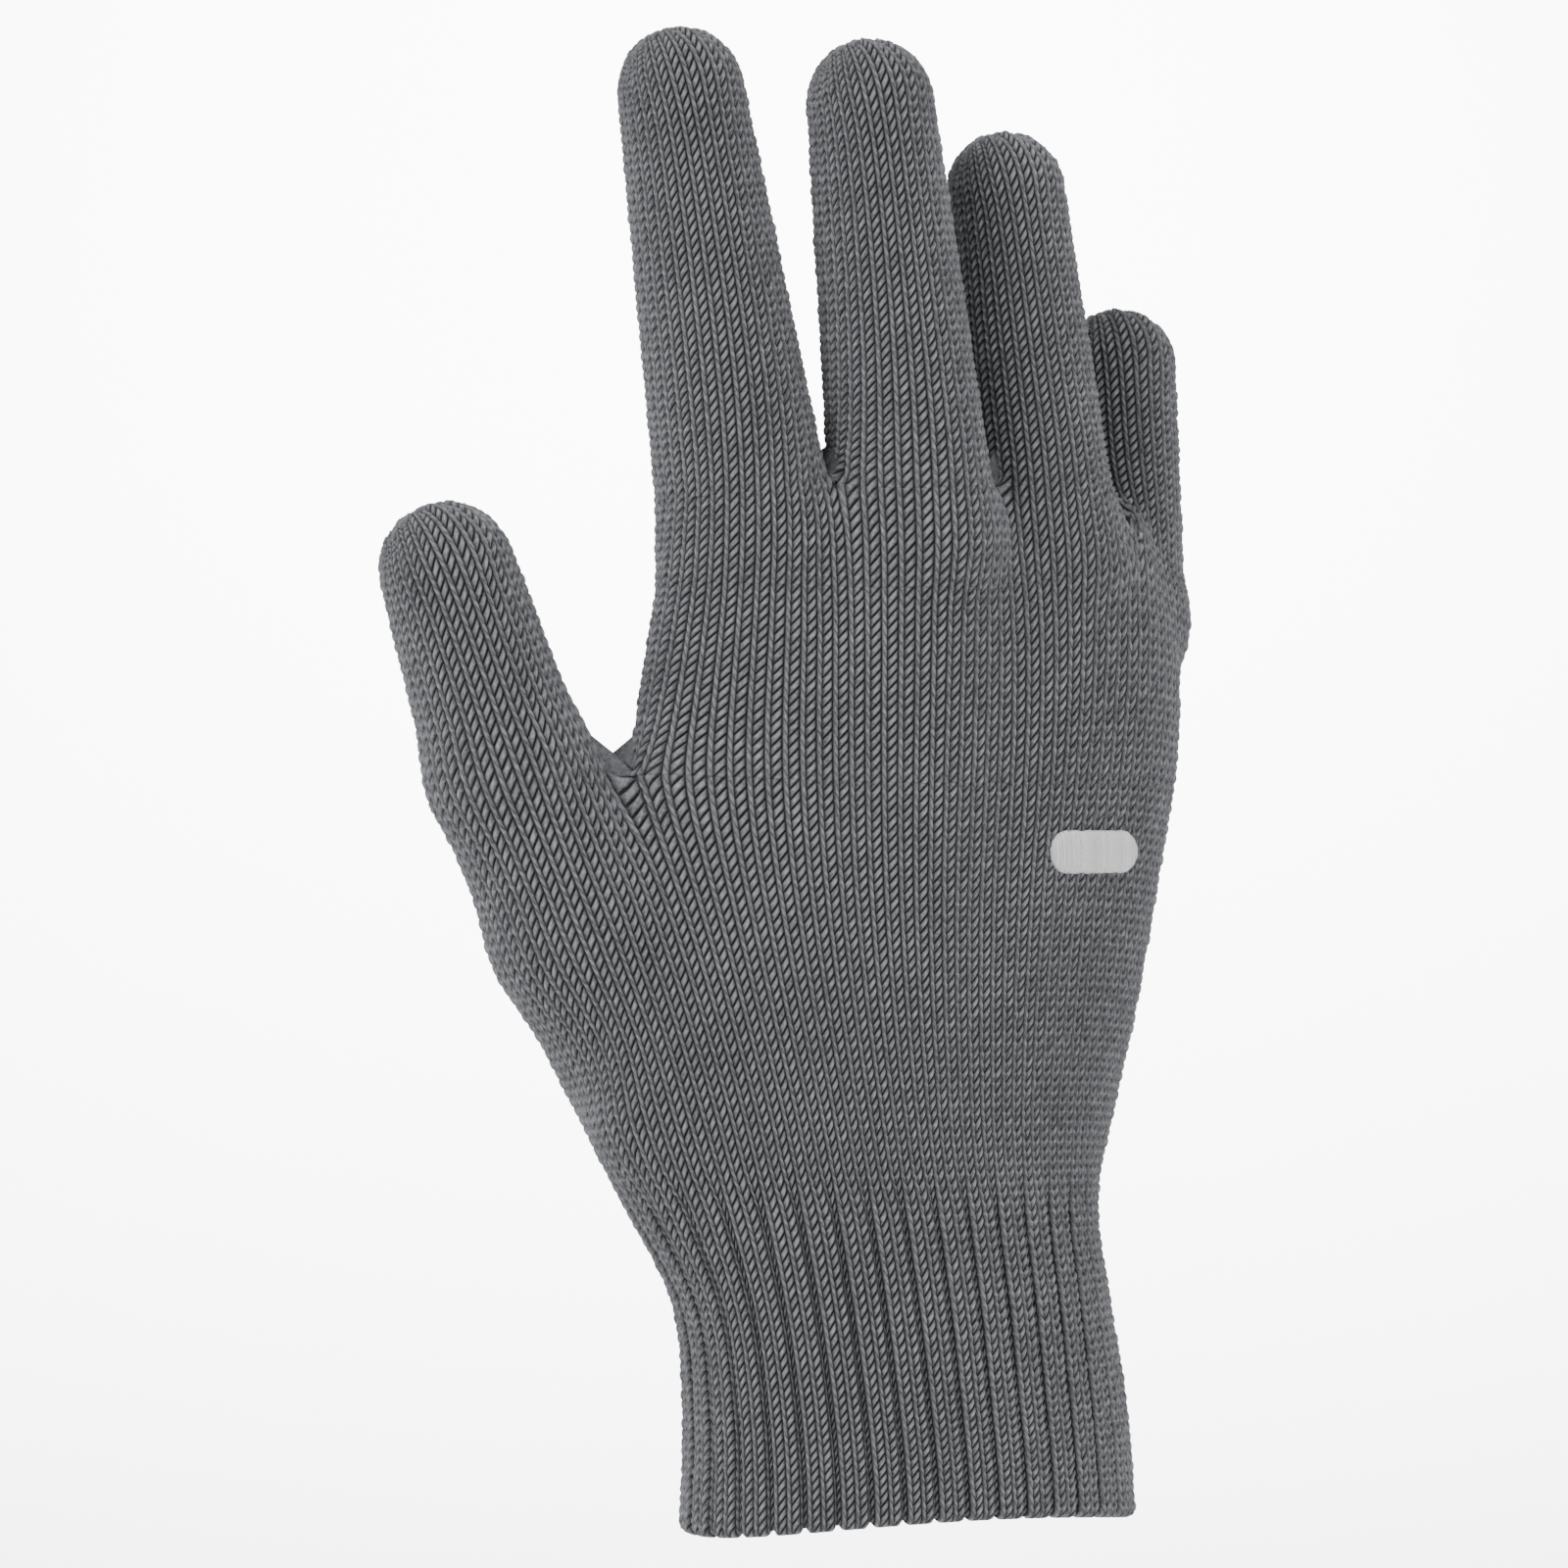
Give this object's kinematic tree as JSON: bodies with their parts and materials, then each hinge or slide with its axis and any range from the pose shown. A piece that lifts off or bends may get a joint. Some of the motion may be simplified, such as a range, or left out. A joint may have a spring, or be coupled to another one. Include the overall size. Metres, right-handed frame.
{
  "type": "knitted glove",
  "caption": "Right-hand knitted glove with a ribbed elastic cuff, tapered fingers and thumb that bend, and a plain stitched bar on the back.",
  "frame": {"origin": "centre of the cuff's mouth", "axes": "+Z from the cuff to the fingertips, -Y out of the back of the hand, +Y out of the palm, -X to the thumb"},
  "size_m": [0.1475, 0.0525, 0.2439],
  "materials": {
    "knit_yarn": "matt spun-acrylic stockinette knit",
    "rib_yarn": "matt spun-acrylic two-by-one rib",
    "closing_yarn": "matt bound-off yarn",
    "elastane_yarn": "fine covered elastane",
    "embroidery_thread": "satin-stitched thread, soft sheen",
    "backing_cloth": "matt non-woven cloth",
    "label_satin": "smooth woven satin, blank",
    "label_thread": "fine sewing thread"
  },
  "bodies": {
    "cuff": {"rib_cuff": "rib_yarn", "cuff_hem": "rib_yarn", "cuff_elastic_yarns": "elastane_yarn", "care_label": "label_satin", "care_label_stitches": "label_thread", "wrist_bend_knit": "knit_yarn"},
    "hand": {"palm_lower": "knit_yarn", "palm_upper": "knit_yarn", "emblem": "embroidery_thread", "emblem_backing": "backing_cloth", "index_base": "knit_yarn", "index_root_bend_knit": "knit_yarn", "middle_base": "knit_yarn", "middle_root_bend_knit": "knit_yarn", "ring_base": "knit_yarn", "ring_root_bend_knit": "knit_yarn", "little_base": "knit_yarn", "little_root_bend_knit": "knit_yarn", "thumb_base": "knit_yarn", "thumb_root_bend_knit": "knit_yarn"},
    "index_lower_tube": {"index_lower_tube": "knit_yarn", "index_middle_bend_knit": "knit_yarn"},
    "index_middle_tube": {"index_middle_tube": "knit_yarn", "index_tip_bend_knit": "knit_yarn"},
    "index_fingertip": {"index_fingertip": "knit_yarn", "index_tip_seam": "closing_yarn"},
    "middle_lower_tube": {"middle_lower_tube": "knit_yarn", "middle_middle_bend_knit": "knit_yarn"},
    "middle_middle_tube": {"middle_middle_tube": "knit_yarn", "middle_tip_bend_knit": "knit_yarn"},
    "middle_fingertip": {"middle_fingertip": "knit_yarn", "middle_tip_seam": "closing_yarn"},
    "ring_lower_tube": {"ring_lower_tube": "knit_yarn", "ring_middle_bend_knit": "knit_yarn"},
    "ring_middle_tube": {"ring_middle_tube": "knit_yarn", "ring_tip_bend_knit": "knit_yarn"},
    "ring_fingertip": {"ring_fingertip": "knit_yarn", "ring_tip_seam": "closing_yarn"},
    "little_lower_tube": {"little_lower_tube": "knit_yarn", "little_middle_bend_knit": "knit_yarn"},
    "little_middle_tube": {"little_middle_tube": "knit_yarn", "little_tip_bend_knit": "knit_yarn"},
    "little_fingertip": {"little_fingertip": "knit_yarn", "little_tip_seam": "closing_yarn"},
    "thumb_tube": {"thumb_tube": "knit_yarn", "thumb_tip_bend_knit": "knit_yarn"},
    "thumb_fingertip": {"thumb_fingertip": "knit_yarn", "thumb_tip_seam": "closing_yarn"}
  },
  "joints": [
    {"name": "wrist_bend", "type": "hinge", "parent": "cuff", "child": "hand", "pos_m": [-0.0088, 0.0014, 0.06], "axis": [-1, 0, 0], "range_deg": [-35, 35], "deforming": ["wrist_bend_knit"]},
    {"name": "index_root_bend", "type": "hinge", "parent": "hand", "child": "index_lower_tube", "pos_m": [-0.03087, 0.00829, 0.18084], "axis": [-0.9925, 0, -0.1224], "range_deg": [-12, 70], "deforming": ["index_root_bend_knit"]},
    {"name": "index_middle_bend", "type": "hinge", "parent": "index_lower_tube", "child": "index_middle_tube", "pos_m": [-0.03374, 0.0086, 0.20416], "axis": [-0.9925, 0, -0.1224], "range_deg": [0, 78], "deforming": ["index_middle_bend_knit"]},
    {"name": "index_tip_bend", "type": "hinge", "parent": "index_middle_tube", "child": "index_fingertip", "pos_m": [-0.03619, 0.00888, 0.22401], "axis": [-0.9925, 0, -0.1224], "range_deg": [0, 39], "deforming": ["index_tip_bend_knit"]},
    {"name": "middle_root_bend", "type": "hinge", "parent": "hand", "child": "middle_lower_tube", "pos_m": [-0.0024, -0.00021, 0.18091], "axis": [-0.9959, 0, -0.0903], "range_deg": [-12, 62], "deforming": ["middle_root_bend_knit"]},
    {"name": "middle_middle_bend", "type": "hinge", "parent": "middle_lower_tube", "child": "middle_middle_tube", "pos_m": [-0.00447, 0.00011, 0.20382], "axis": [-0.9959, 0, -0.0903], "range_deg": [0, 70], "deforming": ["middle_middle_bend_knit"]},
    {"name": "middle_tip_bend", "type": "hinge", "parent": "middle_middle_tube", "child": "middle_fingertip", "pos_m": [-0.00628, 0.00039, 0.22373], "axis": [-0.9959, 0, -0.0903], "range_deg": [0, 35], "deforming": ["middle_tip_bend_knit"]},
    {"name": "ring_root_bend", "type": "hinge", "parent": "hand", "child": "ring_lower_tube", "pos_m": [0.02417, 0.00518, 0.17795], "axis": [-0.9983, 0, -0.0583], "range_deg": [-12, 66], "deforming": ["ring_root_bend_knit"]},
    {"name": "ring_middle_bend", "type": "hinge", "parent": "ring_lower_tube", "child": "ring_middle_tube", "pos_m": [0.02304, 0.00581, 0.19741], "axis": [-0.9983, 0, -0.0583], "range_deg": [0, 70], "deforming": ["ring_middle_bend_knit"]},
    {"name": "ring_tip_bend", "type": "hinge", "parent": "ring_middle_tube", "child": "ring_fingertip", "pos_m": [0.02205, 0.00636, 0.21437], "axis": [-0.9983, 0, -0.0583], "range_deg": [0, 35], "deforming": ["ring_tip_bend_knit"]},
    {"name": "little_root_bend", "type": "hinge", "parent": "hand", "child": "little_lower_tube", "pos_m": [0.04794, 0.01544, 0.16093], "axis": [-0.9974, 0, 0.0723], "range_deg": [-10, 56], "deforming": ["little_root_bend_knit"]},
    {"name": "little_middle_bend", "type": "hinge", "parent": "little_lower_tube", "child": "little_middle_tube", "pos_m": [0.04897, 0.01647, 0.17516], "axis": [-0.9974, 0, 0.0723], "range_deg": [0, 56], "deforming": ["little_middle_bend_knit"]},
    {"name": "little_tip_bend", "type": "hinge", "parent": "little_middle_tube", "child": "little_fingertip", "pos_m": [0.04981, 0.01731, 0.1868], "axis": [-0.9974, 0, 0.0723], "range_deg": [0, 28], "deforming": ["little_tip_bend_knit"]},
    {"name": "thumb_root_bend", "type": "hinge", "parent": "hand", "child": "thumb_tube", "pos_m": [-0.06785, 0.01389, 0.13426], "axis": [-0.7387, 0.5871, -0.3311], "range_deg": [-10, 35], "deforming": ["thumb_root_bend_knit"]},
    {"name": "thumb_tip_bend", "type": "hinge", "parent": "thumb_tube", "child": "thumb_fingertip", "pos_m": [-0.07422, 0.01476, 0.15], "axis": [-0.7387, 0.5871, -0.3311], "range_deg": [0, 55], "deforming": ["thumb_tip_bend_knit"]}
  ],
  "couplings": [
    {"joint": "index_tip_bend", "follows": "index_middle_bend", "ratio": 0.5},
    {"joint": "middle_tip_bend", "follows": "middle_middle_bend", "ratio": 0.5},
    {"joint": "ring_tip_bend", "follows": "ring_middle_bend", "ratio": 0.5},
    {"joint": "little_tip_bend", "follows": "little_middle_bend", "ratio": 0.5}
  ]
}
